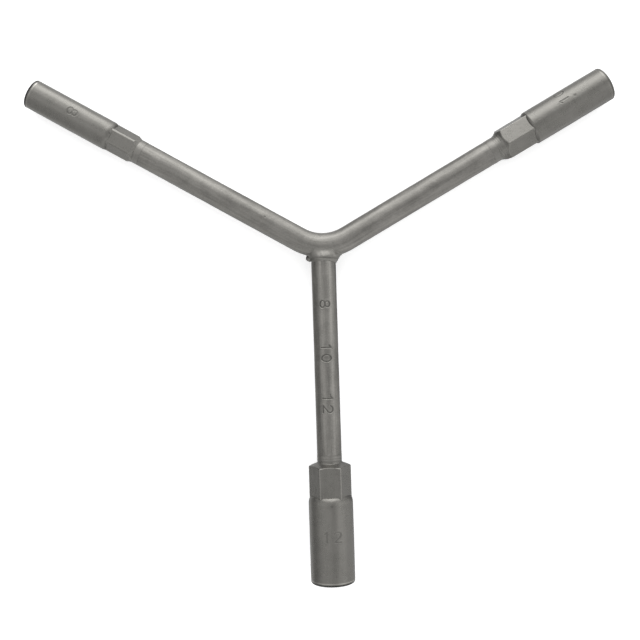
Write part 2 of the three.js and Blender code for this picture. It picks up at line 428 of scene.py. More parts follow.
def stamp(number, across, up):
    """The depth share and the lip share of a stamped number."""
    nearest = np.inf
    for place, digit in enumerate(number):
        middle = (place - (len(number) - 1) / 2) * DIGIT_PITCH
        for stroke in DIGIT_SHARES[digit]:
            nearest = np.minimum(nearest, distance_to_stroke(across - middle, up, stroke))
    wall_start, wall_end = (STROKE_WIDTH * share for share in STROKE_WALL_SHARES)
    depth = 1 - rising(nearest, wall_start, wall_end)
    lip = bell(nearest - STROKE_WIDTH * LIP_SHARE, STROKE_WIDTH * LIP_WIDTH_SHARE)
    return depth, lip


# Meshes

class Skin:
    """A grid of points, with what the steel's material reads at each of them."""

    def __init__(self, points, wear=0, grime=0):
        self.points = points
        self.wear = np.broadcast_to(np.asarray(wear, float), points.shape[:2])
        self.grime = np.broadcast_to(np.asarray(grime, float), points.shape[:2])


def turned(radius, angle, along, wear=0, grime=0):
    """The skin of a piece that is round or nearly round, in the axes of its arm."""
    return Skin(round_the_arm(radius, angle, along), wear, grime)


def joined(*skins):
    points = np.concatenate([skin.points for skin in skins])
    wear = np.concatenate([skin.wear for skin in skins])
    grime = np.concatenate([skin.grime for skin in skins])
    return Skin(points, wear, grime)


def grid_faces(rows, columns, ring):
    """Faces between the rows of a grid that closes on itself across its columns."""
    first = np.arange(rows if ring else rows - 1)[:, None] * columns
    second = (first + columns) % (rows * columns)
    here = np.arange(columns)[None, :]
    after = (here + 1) % columns
    corners = (first + here, first + after, second + after, second + here)
    return np.stack(np.broadcast_arrays(*corners), -1).reshape(-1, 4)


def build(name, skin, points, material, ring=False):
    """Makes a piece of a grid's points in the frame, closed at both ends or into a ring."""
    rows, columns = skin.points.shape[:2]
    faces = grid_faces(rows, columns, ring).tolist()
    corners = points.reshape(-1, 3)
    drawn = skin.points.reshape(-1, 3)
    wear = skin.wear.ravel()
    grime = skin.grime.ravel()
    if not ring:
        last = (rows - 1) * columns
        for row, middle in ((0, len(corners)), (last, len(corners) + 1)):
            for here in range(columns):
                edge = [row + here, row + (here + 1) % columns]
                faces.append([middle, *(edge if row else reversed(edge))])
        corners = np.concatenate([corners, points[[0, -1]].mean(1)])
        drawn = np.concatenate([drawn, skin.points[[0, -1]].mean(1)])
        wear = np.append(wear, skin.wear[[0, -1], 0])
        grime = np.append(grime, skin.grime[[0, -1], 0])
    mesh = bpy.data.meshes.new(name)
    mesh.from_pydata((corners * MM).tolist(), [], faces)
    mesh.attributes.new("drawn", "FLOAT_VECTOR", "POINT").data.foreach_set("vector", drawn.ravel())
    mesh.attributes.new("wear", "FLOAT", "POINT").data.foreach_set("value", wear)
    mesh.attributes.new("grime", "FLOAT", "POINT").data.foreach_set("value", grime)
    mesh.polygons.foreach_set("use_smooth", [True] * len(mesh.polygons))
    mesh.materials.append(material)
    piece = bpy.data.objects.new(name, mesh)
    bpy.context.scene.collection.objects.link(piece)
    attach(piece, "root")
    return piece


# Stations of an arm

def stations(socket):
    """Where the stretches of an arm begin, counted from the hub centre."""
    mouth = socket["reach"]
    barrel = mouth - socket["barrel_length"]
    shoulder = barrel - socket["shoulder_length"]
    neck = shoulder - socket["neck_length"]
    taper = neck - socket["taper_length"]
    return {"mouth": mouth, "barrel": barrel, "shoulder": shoulder, "neck": neck, "taper": taper}


def stub_start(side):
    """The start of a socket's weld stub, which its node gives."""
    low, high = (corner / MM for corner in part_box(f"{side}_weld_ring"))
    middle = (low + high) / 2 - HUB
    return middle.xy.length + STUB_GAP / 2


def turns_round(fine_from=0, fine_to=0):
    """Angles round an arm, closer together between two of them."""
    runs = ((fine_from, TURN_STEP), (fine_to, FINE_TURN_STEP), (HALF_TURN, TURN_STEP))
    return spaced(-HALF_TURN, *runs)[:-1][None, :]


def streaked(streaks, angle):
    """Wear and grime of lengthwise streaks, partly painted highlights and painted shade."""
    wear, grime = 0, 0
    for turn, (half_turn, most) in streaks.items():
        share = bell(angle - turn, half_turn)
        wear = wear + max(most, 0) * share
        grime = grime + max(-most, 0) * share
    return wear, grime


# Outside of a socket

def dressing(socket, along):
    """Depth share of the lines round a weld."""
    return sum((bell(along - place, DRESSING_WIDTH) for place in socket["dressing_lines"]), 0 * along)


def taper_power(socket, angle):
    at_left, at_front, at_right = socket["taper_powers"]
    side = np.sin(np.radians(angle))
    return at_front + (at_right - at_left) / 2 * side + ((at_right + at_left) / 2 - at_front) * side ** 2


def neck_and_taper(socket, angle, along):
    """Radius of the taper and neck, and how far it lies inside the neck's corners."""
    corner_radius = socket["neck_across_corners"] / 2
    start = stations(socket)["taper"] + socket["taper_skew"] * np.maximum(np.cos(np.radians(angle)), 0)
    climb = np.clip((along - start) / socket["taper_length"], 0, 1)
    round_radius = BAR_RADIUS + (corner_radius - BAR_RADIUS) * climb ** taper_power(socket, angle)
    flat_radius = hexagon_radius(angle - socket["flat_turn"], socket["neck_across_flats"])
    rounding = np.where(climb < 1, RIM_ROUNDING, EDGE_ROUNDING)
    return smooth_min(round_radius, flat_radius, rounding), round_radius - flat_radius


def shoulder_and_barrel(socket, along):
    """Radius of the shoulder and barrel, and whether the shoulder's crease gets painted shade there."""
    start = stations(socket)["shoulder"]
    foot_radius = socket["neck_across_flats"] / 2 - SHOULDER_INSET
    share = np.clip((along - start) / socket["shoulder_length"], 0, 1)
    power = socket["shoulder_power"]
    rise = (1 - (1 - share) ** power) ** (1 / power)
    radius = foot_radius + (socket["barrel_diameter"] / 2 - foot_radius) * rise
    return radius - np.maximum(start - along, 0) * SHOULDER_FALL, (share > 0) * (share < CREASE_END_SHARE)


def mouth_edge(socket, along):
    """Wear, partly a painted highlight, and painted shade near the mouth."""
    depth = stations(socket)["mouth"] - along
    wear = bell(depth - MOUTH_WEAR_AND_HIGHLIGHT_DEPTH, MOUTH_WEAR_AND_HIGHLIGHT_WIDTH)
    grime = rising(-depth, -MOUTH_SHADE_DEPTH, MOUTH_SHADE_FADE - MOUTH_SHADE_DEPTH)
    return socket["mouth_wear_and_highlight"] * wear, socket["mouth_shade"] * grime


def socket_surface(socket, angle, along):
    """Radius, wear and grime of a socket's outside, from its taper to the rounding of its mouth; some of
    the wear is painted highlight and some of the grime painted shade.
    """
    neck_radius, from_corner = neck_and_taper(socket, angle, along)
    shoulder_radius, gets_shade = shoulder_and_barrel(socket, along)
    proud = neck_radius - shoulder_radius
    barrel = stations(socket)["barrel"]
    on_barrel = rising(along, barrel, barrel + BARREL_WAVE_RUN)
    # The mouth's bare line is partly a painted highlight and its dark line is painted shade
    mouth_wear_and_highlight, mouth_shade = mouth_edge(socket, along)
    # Painted highlights and painted shade of the barrel's streaks
    streak_highlight, streak_shade = streaked(socket["barrel_highlight_and_shade"], angle)

    wear = bell(from_corner, EDGE_ROUNDING) * rising(proud, 0, CREASE_BLEND)
    wear = wear + mouth_wear_and_highlight + streak_highlight * on_barrel
    # Painted shade in the crease where the neck runs into the shoulder
    grime = socket["crease_shade"] * bell(proud, CREASE_BLEND * 2) * gets_shade
    grime = grime + mouth_shade + streak_shade * on_barrel
    radius = smooth_max(neck_radius, shoulder_radius, CREASE_BLEND)
    radius = radius + WAVE_HEIGHT * waves(angle, along) * on_barrel
    return radius - DRESSING_DEPTH * dressing(socket, along), wear, grime


def barrel_stamp(socket, angle, along):
    """Relief and grime of the number on a barrel, which stands upright seen from the mouth."""
    across = np.radians(angle - socket["stamp_turn"]) * socket["barrel_diameter"] / 2
    up = stations(socket)["mouth"] - BARREL_STAMP_FROM_MOUTH - along
    depth, lip = stamp(str(socket["drive_size"]), -across, up)
    relief = BARREL_STAMP_SHARE * (LIP_HEIGHT * lip - STROKE_DEPTH * depth)
    return relief, BARREL_STAMP_SHARE * STROKE_GRIME * depth


def barrel_pit(socket, angle, along):
    across = np.radians(angle - socket["pit_turn"]) * socket["barrel_diameter"] / 2
    return bell(np.hypot(across, along - socket["pit_along"]), PIT_DIAMETER / 2)


def socket_outside(socket, angle, start):
    at = stations(socket)
    stamp_middle = at["mouth"] - BARREL_STAMP_FROM_MOUTH
    stamp_room = DIGIT_HEIGHT / 2 + STROKE_WIDTH
    along = spaced(
        start,
        (at["neck"] + FINE_STEP, FINE_STEP / 2),
        (at["shoulder"] - FINE_STEP, SIDE_STEP),
        (at["shoulder"] + CREASE_ROOM, SEAM),
        (at["barrel"] + SIDE_STEP, FINE_STEP / 2),
        (stamp_middle - stamp_room, SIDE_STEP),
        (stamp_middle + stamp_room, FINE_STEP),
        (at["mouth"] - MOUTH_WEAR_AND_HIGHLIGHT_DEPTH * 2, SIDE_STEP),
        (at["mouth"] - socket["mouth_rounding"], FINE_STEP),
    )[:, None]
    radius, wear, grime = socket_surface(socket, angle, along)
    relief, stamp_grime = barrel_stamp(socket, angle, along)
    pit = barrel_pit(socket, angle, along)
    grime = np.maximum(grime, stamp_grime) + pit * PIT_GRIME
    return turned(radius + relief - PIT_DEPTH * pit, angle, along, wear, grime)


# Ends and inside of a socket

def stub_end(angle, stub):
    """The flat end of a weld stub and the bevel round it."""
    root = BAR_RADIUS - GROOVE_DEPTH
    face_radii = np.linspace(CAP_RADIUS, root, STUB_FACE_ROWS)[:, None]
    share = np.linspace(0, 1, BEVEL_ROWS)[1:, None]
    face = turned(face_radii, angle, stub, grime=STUB_GRIME)
    bevel = turned(root + GROOVE_DEPTH * share, angle, stub + BEVEL_WIDTH * share, grime=BEVEL_GRIME)
    return joined(face, bevel)


def mouth_rim(socket, angle, hole_radius):
    """The rounding of the mouth and the flat face inside it."""
    mouth = stations(socket)["mouth"]
    radius = socket["barrel_diameter"] / 2
    rounding = socket["mouth_rounding"]
    turn = np.radians(np.linspace(0, QUARTER_TURN, ROUNDING_ROWS)[1:])[:, None]
    along = mouth - rounding * (1 - np.sin(turn))
    rim = turned(radius - rounding * (1 - np.cos(turn)), angle, along, *mouth_edge(socket, along))
    face_radii = between(radius - rounding, hole_radius + FACE_MARGIN, np.array(FACE_SHARES)[:, None])
    return joined(rim, turned(face_radii, angle, mouth, wear=FACE_WEAR))


def drive_hole(socket, angle):
    """The inside: rows of (radius, along, darkening) from the mouth's face to the drill point."""
    mouth = stations(socket)["mouth"]
    across_flats = socket["drive_size"] + DRIVE_CLEARANCE
    bore_radius = across_flats / 2 - BORE_ALLOWANCE
    flats = hexagon_radius(angle - socket["flat_turn"], across_flats)
    rows = []
    for depth in spaced(0, (LEAD_IN, FINE_STEP / 2), (socket["drive_depth"], LONG_STEP)):
        radius = smooth_max(flats, across_flats / 2 + LEAD_IN - depth, LEAD_IN_BLEND)
        # Darker deeper into the hole
        rows.append((radius, mouth - depth, DRIVE_DARKENING * rising(depth, 0, DRIVE_DARKENING_DEPTH)))
    step = mouth - socket["drive_depth"]
    bore_end = mouth - socket["bore_depth"]
    rows.append((flats - STEP_ROUNDING, step - STEP_ROUNDING, BORE_DARKENING))
    rows.append((bore_radius + STEP_ROUNDING, step - STEP_ROUNDING, BORE_DARKENING))
    for along in spaced(bore_end, (step - STEP_ROUNDING * 2, LONG_STEP * 2))[::-1]:
        rows.append((bore_radius, along, BORE_DARKENING))
    point_length = bore_radius / math.tan(math.radians(DRILL_POINT_ANGLE / 2))
    for share in DRILL_POINT_SHARES:
        rows.append((bore_radius * (1 - share), bore_end - point_length * share, DRILL_POINT_DARKENING))
    return rows


def make_socket(side, socket, material):
    stub = stub_start(side)
    digits = len(str(socket["drive_size"]))
    stamp_half_width = DIGIT_PITCH * digits / 2 + STROKE_WIDTH
    stamp_half_turn = math.degrees(stamp_half_width / (socket["barrel_diameter"] / 2))
    angle = turns_round(socket["stamp_turn"] - stamp_half_turn, socket["stamp_turn"] + stamp_half_turn)
    outside = socket_outside(socket, angle, stub + BEVEL_WIDTH + SEAM)
    hole = drive_hole(socket, angle)
    rim = mouth_rim(socket, angle, hole[0][0])
    inside = joined(*(turned(radius, angle, along, grime=grime) for radius, along, grime in hole))
    skin = joined(stub_end(angle, stub), outside, rim, inside)
    points = placed(skin.points, socket["direction"])
    piece = build(f"{side}_socket_body", skin, points, material)
    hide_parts(f"{side}_socket")


# Butt welds

def make_weld_ring(side, socket, material):
    middle = stub_start(side) - STUB_GAP / 2
    root_half_width = STUB_GAP / 2 - BEAD_CLEARANCE
    angle = turns_round()
    share = np.linspace(-1, 1, CROWN_ROWS)[:, None]
    along = middle + (STUB_GAP / 2 + BEVEL_WIDTH) * share
    lines = dressing(socket, along)
    crown_radius = BAR_RADIUS + CROWN_HEIGHT * (1 - share ** 2) - DRESSING_DEPTH * lines
    crown = turned(crown_radius, angle, along, grime=DRESSING_GRIME * lines)
    root_along = np.array([[middle + root_half_width], [middle - root_half_width]])
    root = turned(BAR_RADIUS - GROOVE_DEPTH + BEAD_CLEARANCE, angle, root_along, grime=1)
    skin = joined(crown, root)
    points = placed(skin.points, socket["direction"])
    piece = build(f"{side}_weld_bead", skin, points, material, ring=True)
    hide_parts(f"{side}_weld_ring")


# Bars

LEFT_WAY = way(SOCKETS["left"]["direction"])
BEND_TURN = math.radians(HALF_TURN - SOCKETS["left"]["direction"] + SOCKETS["right"]["direction"])
BEND_LENGTH = BEND_RADIUS * BEND_TURN
TANGENT_LENGTH = BEND_RADIUS * math.tan(BEND_TURN / 2)
MIDDLE_WAY = way((SOCKETS["left"]["direction"] + SOCKETS["right"]["direction"]) / 2)
BEND_CENTRE = MIDDLE_WAY * (BEND_RADIUS / math.cos(BEND_TURN / 2))  # from the hub centre


def turned_by(vector, turn):
    cos, sin = np.cos(turn), np.sin(turn)
    return np.stack([vector[0] * cos - vector[1] * sin, vector[0] * sin + vector[1] * cos], -1)


def bend_to_arms(points, left_straight):
    """Bends a straight bar, drawn along y from its left end, to the two arms."""
    along = points[..., 1]
    bent = np.clip(along - left_straight, 0, BEND_LENGTH)
    turn = bent / BEND_RADIUS
    spoke = LEFT_WAY * TANGENT_LENGTH - BEND_CENTRE
    heading = turned_by(-LEFT_WAY, turn)
    straight = along - left_straight - bent
    middle = BEND_CENTRE + turned_by(spoke, turn) + heading * straight[..., None]
    side = np.stack([heading[..., 1], -heading[..., 0]], -1)
    moved = np.empty_like(points)
    moved[..., :2] = middle + side * points[..., :1]
    moved[..., 2] = points[..., 2]
    return moved + np.array(HUB)


def bar_end(angle, end, inward):
    """The bevelled end of a bar, where inward is the sign of the way into it."""
    root = BAR_RADIUS - GROOVE_DEPTH
    face_radii = np.linspace(CAP_RADIUS, root, BAR_FACE_ROWS)
    radii = np.concatenate([face_radii, np.linspace(root, BAR_RADIUS - SEAM, BEVEL_ROWS)[1:]])
    places = end + inward * BEVEL_WIDTH * np.clip((radii - root) / GROOVE_DEPTH, 0, 1)
    return turned(radii[::inward, None], angle, places[::inward, None], grime=GROOVE_GRIME)


def make_arm_bar(material):
    left_end = stub_start("left") - STUB_GAP
    right_end = stub_start("right") - STUB_GAP
    left_straight = left_end - TANGENT_LENGTH
    length = left_straight + BEND_LENGTH + right_end - TANGENT_LENGTH
    angle = turns_round()
    side_start = BEVEL_WIDTH + BEVEL_MARGIN
    along = spaced(side_start, (length - side_start, LONG_STEP))[:, None]
    # Polish in the crook of the bend, whose paler tone is partly a painted highlight
    crook = rising(-np.sin(np.radians(angle)), *BEND_POLISH_AND_HIGHLIGHT_SHARES)
    wear = BEND_POLISH_AND_HIGHLIGHT * crook * bell(along - left_straight - BEND_LENGTH / 2, BEND_POLISH_AND_HIGHLIGHT_REACH)
    side = turned(BAR_RADIUS + WAVE_HEIGHT * (waves(angle, along) - 1), angle, along, wear)
    skin = joined(bar_end(angle, 0, 1), side, bar_end(angle, length, -1))
    piece = build("arm_bar_bent", skin, bend_to_arms(skin.points, left_straight), material)
    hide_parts("arm_bar")


def underside(side, height):
    """How far below the hub centre the bent bar's lower surface lies, at places on the leg."""
    reach = BEND_RADIUS + np.sqrt(np.clip(BAR_RADIUS ** 2 - height ** 2, 0, None))
    return np.sqrt(reach ** 2 - side ** 2) - BEND_CENTRE[1]


def cope(radius, turn):
    """How far below the hub centre the leg's end lies."""
    return np.maximum(underside(radius * np.sin(turn), radius * np.cos(turn)), COPE_LEVEL)


def leg_streaked(angle, along):
    # Painted highlights and painted shade of the leg's streaks, strongest near the hub
    wear, grime = streaked(LEG_STREAKS_HIGHLIGHTS_AND_SHADE, angle)
    left = 1 - along / LEG_STREAK_AND_SHADE_END
    return wear * left, grime * left


def leg_top(angle):
    """The coped end of the leg and the stretch below it, whose rows turn square to the leg."""
    turn = np.radians(angle)
    radii = np.linspace(CAP_RADIUS, BAR_RADIUS - SEAM, LEG_TOP_ROWS)[:, None]
    share = np.linspace(0, 1, LEG_START_ROWS)[:-1, None]
    along = cope(BAR_RADIUS, turn) * (1 - share) + SQUARE_FROM * share
    end = turned(radii, angle, cope(radii, turn), grime=GROOVE_GRIME)
    return joined(end, turned(BAR_RADIUS, angle, along, *leg_streaked(angle, along)))


def leg_side(angle, end):
    """The leg with its numbers, which are read from the side, from the top down to a place."""
    stamp_room = DIGIT_PITCH + STROKE_WIDTH
    along = spaced(
        SQUARE_FROM,
        (min(LEG_STAMPS.values()) - stamp_room, LONG_STEP),
        (max(LEG_STAMPS.values()) + stamp_room, FINE_STEP),
        (end, LONG_STEP),
    )[:, None]
    relief = WAVE_HEIGHT * (waves(angle, along + LEG_WAVE_SHIFT) - 1)
    relief = relief * rising(along, SQUARE_FROM, SQUARE_FROM + LEG_WAVE_RUN)
    depths = 0
    for number, middle in LEG_STAMPS.items():
        depth, lip = stamp(number, along - middle, -np.radians(angle) * BAR_RADIUS)
        relief = relief + LIP_HEIGHT * lip - STROKE_DEPTH * depth
        depths = np.maximum(depths, depth)
    wear, grime = leg_streaked(angle, along)
    grime = np.maximum(grime, depths * STROKE_GRIME)
    return turned(BAR_RADIUS + relief, angle, along, wear * (1 - depths), grime)


def make_leg_bar(socket, material):
    end = stub_start("leg") - STUB_GAP
    stamp_half_turn = math.degrees((DIGIT_HEIGHT / 2 + STROKE_WIDTH) / BAR_RADIUS)
    angle = turns_round(-stamp_half_turn, stamp_half_turn)
    side = leg_side(angle, end - BEVEL_WIDTH - BEVEL_MARGIN)
    skin = joined(leg_top(angle), side, bar_end(angle, end, -1))
    piece = build("leg_bar_straight", skin, placed(skin.points, socket["direction"]), material)
    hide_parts("leg_bar")


# Fillet weld. Its turns start at the front and run towards the right arm.

def near_turn(turn, middle, half_turn):
    """A share that is full at one turn and fades on both sides of it."""
    away = (turn - math.radians(middle) + math.pi) % math.tau - math.pi
    return bell(np.degrees(away), half_turn)


def on_axis(levels):
    return np.stack([0 * levels, levels, 0 * levels], -1)


def toe_on_bar(turn):
    """Where the weld ends on the bent bar, from the hub centre."""
    sine, cosine = np.sin(turn), np.cos(turn)
    reach = np.where(sine > 0, TOE_RIGHT_REACH, TOE_LEFT_REACH) * np.abs(sine) ** TOE_REACH_POWER
    side = (BAR_RADIUS + TOE_GAP + reach) * sine
    top = BAR_RADIUS * math.sin(math.radians(TOE_CLIMB))
    height = smooth_min(np.abs(cosine) * (BAR_RADIUS + TOE_GAP), top, TOE_GAP / 2)
    height = height * np.sign(cosine)
    return np.stack([side, -underside(side, height), height], -1)


def crest_share(turn):
    """The crest at the front, and its like at the back."""
    crest_turn = math.radians(CREST_TURN)
    front = rising(np.cos(turn - crest_turn), *CREST_COSINES)
    return front + rising(-np.cos(turn + crest_turn), *CREST_COSINES)


def fillet_curves(turn, share):
    """The weld's surface, curve by curve from the leg up to the bent bar, with its foot and toe."""
    sine, cosine = np.sin(turn), np.cos(turn)
    outward = np.stack([sine, 0 * turn, cosine], -1)
    crest = crest_share(turn)
    corner = np.maximum(sine, 0) ** CORNER_POWER
    cheek = CHEEK_RISE * near_turn(turn, CHEEK_TURN, CHEEK_HALF_TURN)
    foot_level = -FILLET_FOOT - FOOT_CORNER_DROP * corner
    for count, lag, height in FOOT_WAVES:
        foot_level = foot_level + height * np.sin(count * turn + lag)
    knee_level = np.minimum(-underside(BAR_RADIUS * sine, BAR_RADIUS * cosine), -KNEE_LEVEL)
    foot = BAR_RADIUS * outward + on_axis(foot_level)
    knee = BAR_RADIUS * outward + on_axis(knee_level)
    toe = toe_on_bar(turn)
    rise = SIDE_RISE + (CREST_RISE - SIDE_RISE) * crest + (CORNER_LOWER_RISE - SIDE_RISE) * corner + cheek
    lower = between(foot, knee, LOWER_HANDLE_SHARE) + rise[..., None] * outward
    rise = SIDE_RISE - (CREST_DISH + SIDE_RISE) * crest + (CORNER_UPPER_RISE - SIDE_RISE) * corner + cheek
    upper = between(knee, toe, UPPER_HANDLE_SHARE) + rise[..., None] * outward
    ahead = share[..., None]
    back = 1 - ahead
    points = foot * back ** 3 + lower * 3 * ahead * back ** 2
    points = points + upper * 3 * ahead ** 2 * back + toe * ahead ** 3
    return points, foot_level, toe


def make_hub_weld(material):
    angle = np.arange(0, FULL_TURN, HUB_TURN_STEP)[None, :]
    turn = np.radians(angle)
    share = np.linspace(0, 1, HUB_ROWS)[:, None]
    points, foot_level, toe = fillet_curves(turn, share)

    near = near_turn(turn, UNDERCUT_TURN, UNDERCUT_HALF_TURN)
    below = points[..., 1] + UNDERCUT_LEVEL + UNDERCUT_SLANT * points[..., 0]
    undercut = bell(below, UNDERCUT_WIDTH) * near
    inside = np.sin(math.pi * share)
    lower_pass = rising(-below, 0, UNDERCUT_WIDTH) * near * inside
    relief = RIPPLE_HEIGHT * np.sin(angle / RIPPLE_TURN + RIPPLE_SLANT * share) * inside
    relief = relief - UNDERCUT_DEPTH * undercut - LOWER_PASS_DROP * lower_pass
    points[..., 0] += relief * np.sin(turn)
    points[..., 2] += relief * np.cos(turn)

    # Painted shade in the crease along a stretch of the toe
    toe_shade = bell(share - 1, TOE_SHADE_SHARE) * near_turn(turn, TOE_SHADE_TURN, TOE_SHADE_HALF_TURN)
    # A painted shadow under the weld's left end, near the foot
    side_shadow = bell(share - SIDE_SHADOW_SHARE, SIDE_SHADOW_HALF_SHARE)
    side_shadow = side_shadow * near_turn(turn, SIDE_SHADOW_TURN, SIDE_SHADOW_HALF_TURN)
    # Painted shade in the undercut and along the toe, and a painted shadow on the left
    grime = np.clip(UNDERCUT_SHADE * undercut + TOE_SHADE * toe_shade + side_shadow, 0, 1)
    wear = CREST_WEAR * crest_share(turn) * rising(share, *CREST_WEAR_SHARES)

    root_toe = toe * np.array(ROOT_TOE_SHARES) + np.array([0, ROOT_DEPTH, 0])
    root_foot = round_the_arm(BAR_RADIUS - ROOT_DEPTH, angle, foot_level + ROOT_FOOT_RISE)
    skin = joined(Skin(points, wear, grime), Skin(np.concatenate([root_toe, root_foot]), grime=1))
    piece = build("hub_fillet", skin, skin.points + np.array(HUB), material, ring=True)
    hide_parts("hub_weld")


def make_nub(material):
    """The drop of weld metal at the left of the fillet."""
    angle = np.arange(0, FULL_TURN, NUB_TURN_STEP)[None, :]
    tilt = np.radians(np.linspace(-NUB_LAST_TILT, NUB_LAST_TILT, NUB_ROWS))[:, None]
    radius = NUB_DIAMETER / 2 * (1 + NUB_UNEVENNESS * np.sin(np.radians(angle) * 2 + 3 * tilt))
    # The arm's shadow, painted on the nub's upper side
    grime = NUB_SHADOW * rising(np.sin(tilt), *NUB_SHADOW_SHARES)
    skin = turned(radius * np.cos(tilt), angle, radius * np.sin(tilt), grime=grime)
    centre = np.array([-BAR_RADIUS - NUB_OFFSET, -NUB_LEVEL, 0])
    build("hub_spatter", skin, skin.points + centre + np.array(HUB), material)


# Material

# Noises in the steel: size of the grains, detail and roughness
NOISES = {
    "grain": (0.45, 3.0, 0.6),
    "fine": (0.16, 1.0, 0.5),
    "dapple": (1.3, 1.0, 0.5),
    "mottle": (5.5, 3.0, 0.6),
    "cloud": (18.0, 1.0, 0.5),
}
STREAK_NOISE = (1.1, 3.0, 0.55)
STREAK_STRETCH = (1, 0.06, 1)  # along the arm

# Specks are small pits. A noise of its own chooses which of them show.
SPECK_SPACING = 3.2
SPECK_RANGE = (0.14, 0.05)  # distances from a speck's middle, from its edge to its full depth
SPECK_CHOICE = (9.0, 1.0, 0.5)
SPECK_CHOICE_RANGE = (0.08, 0.2)

# The tone is the share of the pale colour in the mixture.
MIDDLE_TONE = 0.5
MOTTLING_TONES = {"grain": 0.55, "mottle": 0.45, "cloud": 0.15}
# Wear and grime, with the painted highlights and painted shade they carry, shift the tone
WEAR_AND_HIGHLIGHT_TONE = 0.2
GRIME_AND_SHADE_TONE = -0.5
SPECK_TONE = -0.45
BARE_AND_HIGHLIGHT_COLOUR = (0.5, 0.485, 0.455)
BARE_AND_HIGHLIGHT_RANGE = (0.7, 1.6)  # of the wear that bares the steel and paints highlights
# Near black, painted where the shade is deepest, as at the mouth's edge and the nub's top
SOOT_AND_SHADE_COLOUR = (0.01, 0.01, 0.01)
SOOT_AND_SHADE_RANGE = (0.6, 1.4)  # of the grime that hides the steel and paints the deepest shade near black
METALLIC = 0.8
SPECULAR = 0.5
ROUGHNESSES = {"mottle": 0.2, "grain": 0.12}
WEAR_AND_HIGHLIGHT_ROUGHNESS = -0.1
GRIME_AND_SHADE_ROUGHNESS = 0.2
HEIGHTS = {"grain": 0.03, "fine": 0.012, "dapple": 0.045, "mottle": 0.12}
STREAK_HEIGHT = 0.02
SPECK_HEIGHT = -0.08
POLISH_SHARE = 0.6  # of the relief, which wear takes away

STEELS = {
    "bar_steel": {
        "dark": (0.10, 0.098, 0.09),
        "light": (0.30, 0.29, 0.27),
        "mottling": 1.3,
        "streaking": 0.8,
        "roughness": 0.36,
    },
    "socket_steel": {
        "dark": (0.088, 0.086, 0.079),
        "light": (0.265, 0.257, 0.239),
        "mottling": 0.6,
        "streaking": 0.2,
        "roughness": 0.29,
    },
    "weld_steel": {
        "dark": (0.10, 0.098, 0.09),
        "light": (0.31, 0.30, 0.28),
        "mottling": 0.8,
        "streaking": 0.0,
        "roughness": 0.34,
    },
}


class Nodes:
    """Short calls for the nodes of one material."""

    def __init__(self, tree):
        self.tree = tree

    def add(self, kind, **values):
        node = self.tree.nodes.new(kind)
        for name, value in values.items():
            setattr(node, name, value)
        return node

    def feed(self, node, socket, value):
        if isinstance(value, bpy.types.NodeSocket):
            self.tree.links.new(value, node.inputs[socket])
        else:
            node.inputs[socket].default_value = value

    def attribute(self, name, output):
        return self.add("ShaderNodeAttribute", attribute_name=name).outputs[output]

    def math(self, operation, *values):
        node = self.add("ShaderNodeMath", operation=operation)
        for place, value in enumerate(values):
            self.feed(node, place, value)
        return node.outputs[0]

    def scaled(self, value, factor, offset):
        return self.math("MULTIPLY_ADD", value, factor, offset)

    def summed(self, start, *parts):
        """A start and the parts, each a value and its factor."""
        for value, factor in parts:
            start = self.scaled(value, factor, start)
        return start

    def stretched(self, vector, scale):
        node = self.add("ShaderNodeVectorMath", operation="MULTIPLY")
        self.feed(node, 0, vector)
        self.feed(node, 1, scale)
        return node.outputs[0]

    def noise(self, vector, size, detail, roughness):
        """Noise about zero with grains of a size."""
        node = self.add("ShaderNodeTexNoise")
        self.feed(node, "Vector", vector)
        self.feed(node, "Scale", 1 / size)
        self.feed(node, "Detail", detail)
        self.feed(node, "Roughness", roughness)
        return self.scaled(node.outputs[0], 1.0, -0.5)

    def mixed(self, first, second, share):
        node = self.add("ShaderNodeMix", data_type="RGBA")
        self.feed(node, "Factor", share)
        self.feed(node, 6, first)
        self.feed(node, 7, (*second, 1))
        return node.outputs[2]

    def band(self, value, start, end):
        node = self.add("ShaderNodeMapRange", interpolation_type="SMOOTHSTEP")
        self.feed(node, "Value", value)
        self.feed(node, "From Min", start)
        self.feed(node, "From Max", end)
        return node.outputs[0]


def specks(nodes, drawn):
    cells = nodes.add("ShaderNodeTexVoronoi", feature="F1")
    nodes.feed(cells, "Vector", drawn)
    nodes.feed(cells, "Scale", 1 / SPECK_SPACING)
    chosen = nodes.band(nodes.noise(drawn, *SPECK_CHOICE), *SPECK_CHOICE_RANGE)
    return nodes.math("MULTIPLY", nodes.band(cells.outputs["Distance"], *SPECK_RANGE), chosen)


